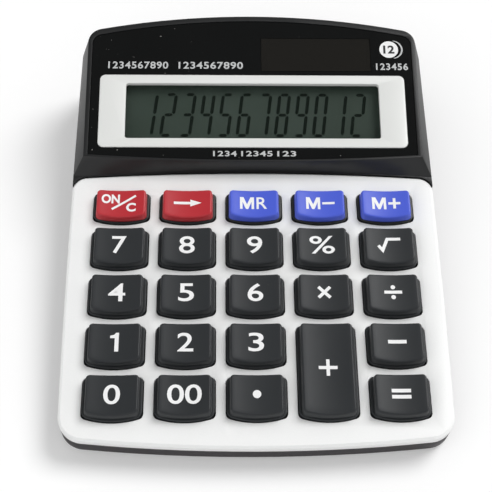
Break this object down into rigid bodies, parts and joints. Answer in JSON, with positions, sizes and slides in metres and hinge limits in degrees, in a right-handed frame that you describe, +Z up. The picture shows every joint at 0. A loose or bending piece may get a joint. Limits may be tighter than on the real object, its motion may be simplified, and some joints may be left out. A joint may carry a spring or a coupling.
{
  "type": "desk calculator",
  "caption": "Wedge-shaped desk calculator: white keyboard deck with raised dished keys, black tilted display head with a framed liquid crystal display and a solar window.",
  "frame": {"origin": "centre of the footprint on the desk, under the rubber feet", "axes": "+X to the user's right, +Y away from the user towards the display, +Z up from the desk"},
  "size_m": [0.122, 0.1568, 0.0374],
  "materials": {
    "white_shell": "fine satin moulded plastic",
    "charcoal_shell": "fine textured moulded plastic",
    "black_shell": "semi-gloss moulded plastic",
    "black_gloss": "polished acrylic",
    "silver_frame": "pearl silver paint",
    "clear_window": "clear acrylic",
    "smoked_window": "dark smoked acrylic",
    "lcd_glass": "grey-green reflective liquid crystal cell",
    "solar_cell": "dark amorphous silicon on glass",
    "key_black": "satin moulded plastic",
    "key_red": "satin moulded plastic",
    "key_blue": "satin moulded plastic",
    "silicone": "soft silicone",
    "foot_rubber": "matte rubber",
    "board": "green solder resist",
    "resin": "poured epoxy",
    "inner_plastic": "plain moulded plastic",
    "steel": "zinc plated steel",
    "contact": "nickel plated spring steel",
    "cell_jacket": "plain printed jacket",
    "lead_red": "insulated wire",
    "ribbon": "flat flexible cable"
  },
  "bodies": {
    "case": {"bottom_case": "charcoal_shell", "keyboard_cover": "white_shell", "display_housing": "black_shell", "display_fascia": "black_gloss", "lcd_bezel": "silver_frame", "lcd_window": "clear_window", "solar_window": "smoked_window", "solar_cell": "solar_cell", "solar_leads": "lead_red", "lcd_glass": "lcd_glass", "lcd_holder": "inner_plastic", "zebra_strips": "silicone", "display_board": "board", "display_screws": "steel", "calculator_chip": "resin", "board_parts": "resin", "ribbon_cable": "ribbon", "main_board": "board", "board_screws": "steel", "keypad_mat": "silicone", "case_screws": "steel", "rubber_feet": "foot_rubber", "battery_cell": "cell_jacket", "battery_contact_positive": "contact", "battery_spring": "contact", "battery_leads": "lead_red"},
    "door": {"battery_cover": "charcoal_shell"},
    "key_on_clear": {"key_on_clear_base": "key_black", "key_on_clear_cap": "key_red"},
    "key_shift": {"key_shift_base": "key_black", "key_shift_cap": "key_red"},
    "key_memory_recall": {"key_memory_recall_base": "key_black", "key_memory_recall_cap": "key_blue"},
    "key_memory_minus": {"key_memory_minus_base": "key_black", "key_memory_minus_cap": "key_blue"},
    "key_memory_plus": {"key_memory_plus_base": "key_black", "key_memory_plus_cap": "key_blue"},
    "key_7": {"key_7": "key_black"},
    "key_8": {"key_8": "key_black"},
    "key_9": {"key_9": "key_black"},
    "key_percent": {"key_percent": "key_black"},
    "key_root": {"key_root": "key_black"},
    "key_4": {"key_4": "key_black"},
    "key_5": {"key_5": "key_black"},
    "key_6": {"key_6": "key_black"},
    "key_times": {"key_times": "key_black"},
    "key_divide": {"key_divide": "key_black"},
    "key_1": {"key_1": "key_black"},
    "key_2": {"key_2": "key_black"},
    "key_3": {"key_3": "key_black"},
    "key_plus": {"key_plus": "key_black"},
    "key_minus": {"key_minus": "key_black"},
    "key_0": {"key_0": "key_black"},
    "key_00": {"key_00": "key_black"},
    "key_point": {"key_point": "key_black"},
    "key_equals": {"key_equals": "key_black"}
  },
  "joints": [
    {"name": "key_on_clear_press", "type": "slide", "parent": "case", "child": "key_on_clear", "axis": [0, 0.0872, -0.9962], "range_m": [0, 0.0014], "stiffness_N_per_m": 430, "deforming": ["keypad_mat"]},
    {"name": "key_shift_press", "type": "slide", "parent": "case", "child": "key_shift", "axis": [0, 0.0872, -0.9962], "range_m": [0, 0.0014], "stiffness_N_per_m": 430, "deforming": ["keypad_mat"]},
    {"name": "key_memory_recall_press", "type": "slide", "parent": "case", "child": "key_memory_recall", "axis": [0, 0.0872, -0.9962], "range_m": [0, 0.0014], "stiffness_N_per_m": 430, "deforming": ["keypad_mat"]},
    {"name": "key_memory_minus_press", "type": "slide", "parent": "case", "child": "key_memory_minus", "axis": [0, 0.0872, -0.9962], "range_m": [0, 0.0014], "stiffness_N_per_m": 430, "deforming": ["keypad_mat"]},
    {"name": "key_memory_plus_press", "type": "slide", "parent": "case", "child": "key_memory_plus", "axis": [0, 0.0872, -0.9962], "range_m": [0, 0.0014], "stiffness_N_per_m": 430, "deforming": ["keypad_mat"]},
    {"name": "key_7_press", "type": "slide", "parent": "case", "child": "key_7", "axis": [0, 0.0872, -0.9962], "range_m": [0, 0.0014], "stiffness_N_per_m": 430, "deforming": ["keypad_mat"]},
    {"name": "key_8_press", "type": "slide", "parent": "case", "child": "key_8", "axis": [0, 0.0872, -0.9962], "range_m": [0, 0.0014], "stiffness_N_per_m": 430, "deforming": ["keypad_mat"]},
    {"name": "key_9_press", "type": "slide", "parent": "case", "child": "key_9", "axis": [0, 0.0872, -0.9962], "range_m": [0, 0.0014], "stiffness_N_per_m": 430, "deforming": ["keypad_mat"]},
    {"name": "key_percent_press", "type": "slide", "parent": "case", "child": "key_percent", "axis": [0, 0.0872, -0.9962], "range_m": [0, 0.0014], "stiffness_N_per_m": 430, "deforming": ["keypad_mat"]},
    {"name": "key_root_press", "type": "slide", "parent": "case", "child": "key_root", "axis": [0, 0.0872, -0.9962], "range_m": [0, 0.0014], "stiffness_N_per_m": 430, "deforming": ["keypad_mat"]},
    {"name": "key_4_press", "type": "slide", "parent": "case", "child": "key_4", "axis": [0, 0.0872, -0.9962], "range_m": [0, 0.0014], "stiffness_N_per_m": 430, "deforming": ["keypad_mat"]},
    {"name": "key_5_press", "type": "slide", "parent": "case", "child": "key_5", "axis": [0, 0.0872, -0.9962], "range_m": [0, 0.0014], "stiffness_N_per_m": 430, "deforming": ["keypad_mat"]},
    {"name": "key_6_press", "type": "slide", "parent": "case", "child": "key_6", "axis": [0, 0.0872, -0.9962], "range_m": [0, 0.0014], "stiffness_N_per_m": 430, "deforming": ["keypad_mat"]},
    {"name": "key_times_press", "type": "slide", "parent": "case", "child": "key_times", "axis": [0, 0.0872, -0.9962], "range_m": [0, 0.0014], "stiffness_N_per_m": 430, "deforming": ["keypad_mat"]},
    {"name": "key_divide_press", "type": "slide", "parent": "case", "child": "key_divide", "axis": [0, 0.0872, -0.9962], "range_m": [0, 0.0014], "stiffness_N_per_m": 430, "deforming": ["keypad_mat"]},
    {"name": "key_1_press", "type": "slide", "parent": "case", "child": "key_1", "axis": [0, 0.0872, -0.9962], "range_m": [0, 0.0014], "stiffness_N_per_m": 430, "deforming": ["keypad_mat"]},
    {"name": "key_2_press", "type": "slide", "parent": "case", "child": "key_2", "axis": [0, 0.0872, -0.9962], "range_m": [0, 0.0014], "stiffness_N_per_m": 430, "deforming": ["keypad_mat"]},
    {"name": "key_3_press", "type": "slide", "parent": "case", "child": "key_3", "axis": [0, 0.0872, -0.9962], "range_m": [0, 0.0014], "stiffness_N_per_m": 430, "deforming": ["keypad_mat"]},
    {"name": "key_plus_press", "type": "slide", "parent": "case", "child": "key_plus", "axis": [0, 0.0872, -0.9962], "range_m": [0, 0.0014], "stiffness_N_per_m": 430, "deforming": ["keypad_mat"]},
    {"name": "key_minus_press", "type": "slide", "parent": "case", "child": "key_minus", "axis": [0, 0.0872, -0.9962], "range_m": [0, 0.0014], "stiffness_N_per_m": 430, "deforming": ["keypad_mat"]},
    {"name": "key_0_press", "type": "slide", "parent": "case", "child": "key_0", "axis": [0, 0.0872, -0.9962], "range_m": [0, 0.0014], "stiffness_N_per_m": 430, "deforming": ["keypad_mat"]},
    {"name": "key_00_press", "type": "slide", "parent": "case", "child": "key_00", "axis": [0, 0.0872, -0.9962], "range_m": [0, 0.0014], "stiffness_N_per_m": 430, "deforming": ["keypad_mat"]},
    {"name": "key_point_press", "type": "slide", "parent": "case", "child": "key_point", "axis": [0, 0.0872, -0.9962], "range_m": [0, 0.0014], "stiffness_N_per_m": 430, "deforming": ["keypad_mat"]},
    {"name": "key_equals_press", "type": "slide", "parent": "case", "child": "key_equals", "axis": [0, 0.0872, -0.9962], "range_m": [0, 0.0014], "stiffness_N_per_m": 430, "deforming": ["keypad_mat"]},
    {"name": "battery_cover_slide", "type": "slide", "parent": "case", "child": "door", "axis": [0, 1, 0], "range_m": [0, 0.024]}
  ]
}
